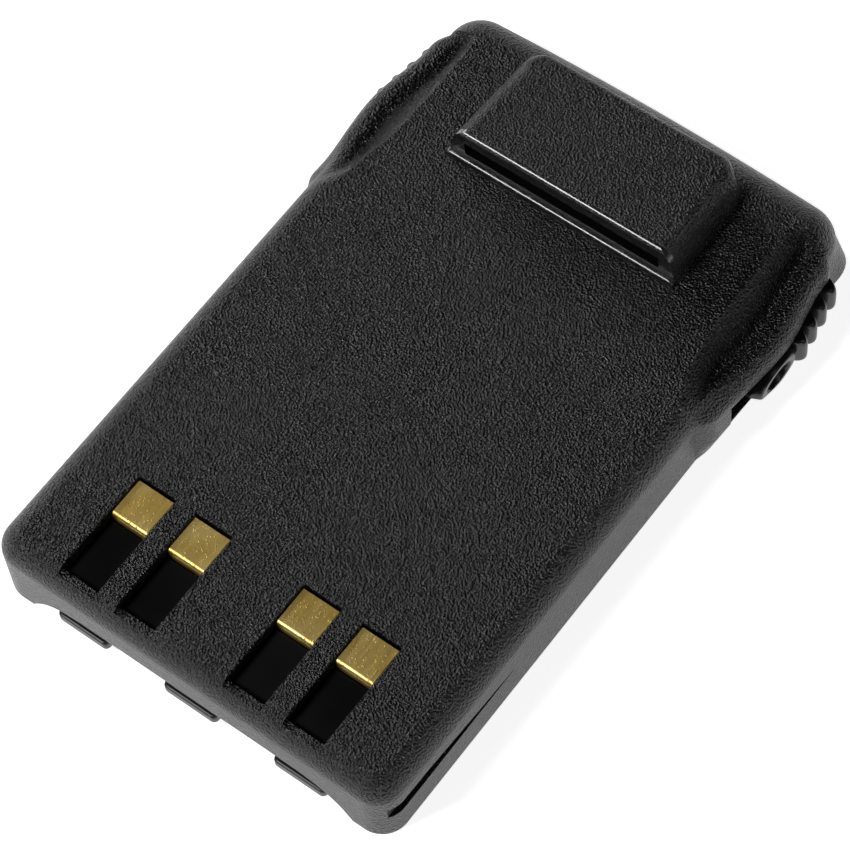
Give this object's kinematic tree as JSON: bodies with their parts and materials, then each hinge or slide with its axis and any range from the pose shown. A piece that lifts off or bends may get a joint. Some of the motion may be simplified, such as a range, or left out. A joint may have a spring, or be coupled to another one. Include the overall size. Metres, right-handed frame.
{
  "type": "two-way radio battery pack",
  "caption": "Flat black clip-on battery pack with a belt clip socket, gold charging contacts, hook tabs and sliding side latches.",
  "frame": {"origin": "middle of the footprint, in the plane of the rim that meets the radio", "axes": "+Z out of the pack's rear face, +Y from the hook tabs to the latch end, +X to the right seen from behind with the latch end up"},
  "size_m": [0.0592, 0.087, 0.0152],
  "materials": {
    "textured_black": "spark-eroded fine grain, satin",
    "latch_black": "smooth satin moulding",
    "gloss_black": "polished moulding",
    "gold_plate": "thin gold plating over nickel",
    "nickel": "rolled strip",
    "spring_steel": "drawn wire",
    "cell_can": "drawn can",
    "board_green": "solder resist on glass laminate",
    "chip_black": "moulded epoxy",
    "chip_ceramic": "fired ceramic",
    "insulating_paper": "pressed insulating paper",
    "label_film": "blank label film",
    "foam": "closed-cell foam",
    "adhesive_tape": "double-sided tissue tape",
    "terminal_seal": "moulded seal"
  },
  "bodies": {
    "housing": {"rear_shell": "textured_black", "inner_cover": "textured_black", "latch_spring_left": "spring_steel", "latch_spring_right": "spring_steel", "contact_block": "gloss_black", "charge_contact_1": "gold_plate", "charge_contact_2": "gold_plate", "charge_contact_3": "gold_plate", "charge_contact_4": "gold_plate", "radio_contact_1": "gold_plate", "radio_contact_2": "gold_plate", "radio_contact_3": "gold_plate", "circuit_board": "board_green", "protection_chip": "chip_black", "switch_chip": "chip_black", "sense_resistor": "chip_ceramic", "thermistor": "chip_ceramic", "thermal_fuse": "terminal_seal", "cell_1": "cell_can", "cell_2": "cell_can", "terminal_1": "nickel", "terminal_2": "nickel", "terminal_seal_1": "terminal_seal", "terminal_seal_2": "terminal_seal", "strap_negative": "nickel", "strap_series": "nickel", "strap_positive": "nickel", "cell_tape_1": "adhesive_tape", "cell_tape_2": "adhesive_tape", "foam_pad_1": "foam", "foam_pad_2": "foam", "board_insulator": "insulating_paper", "rating_label": "label_film"},
    "left_latch": {"latch_left": "latch_black"},
    "right_latch": {"latch_right": "latch_black"}
  },
  "joints": [
    {"name": "left_latch_slide", "type": "slide", "parent": "housing", "child": "left_latch", "axis": [0, -1, 0], "range_m": [0, 0.003], "stiffness_N_per_m": 700, "springref_m": -0.001, "deforming": ["latch_spring_left"]},
    {"name": "right_latch_slide", "type": "slide", "parent": "housing", "child": "right_latch", "axis": [0, -1, 0], "range_m": [0, 0.003], "stiffness_N_per_m": 700, "springref_m": -0.001, "deforming": ["latch_spring_right"]}
  ]
}
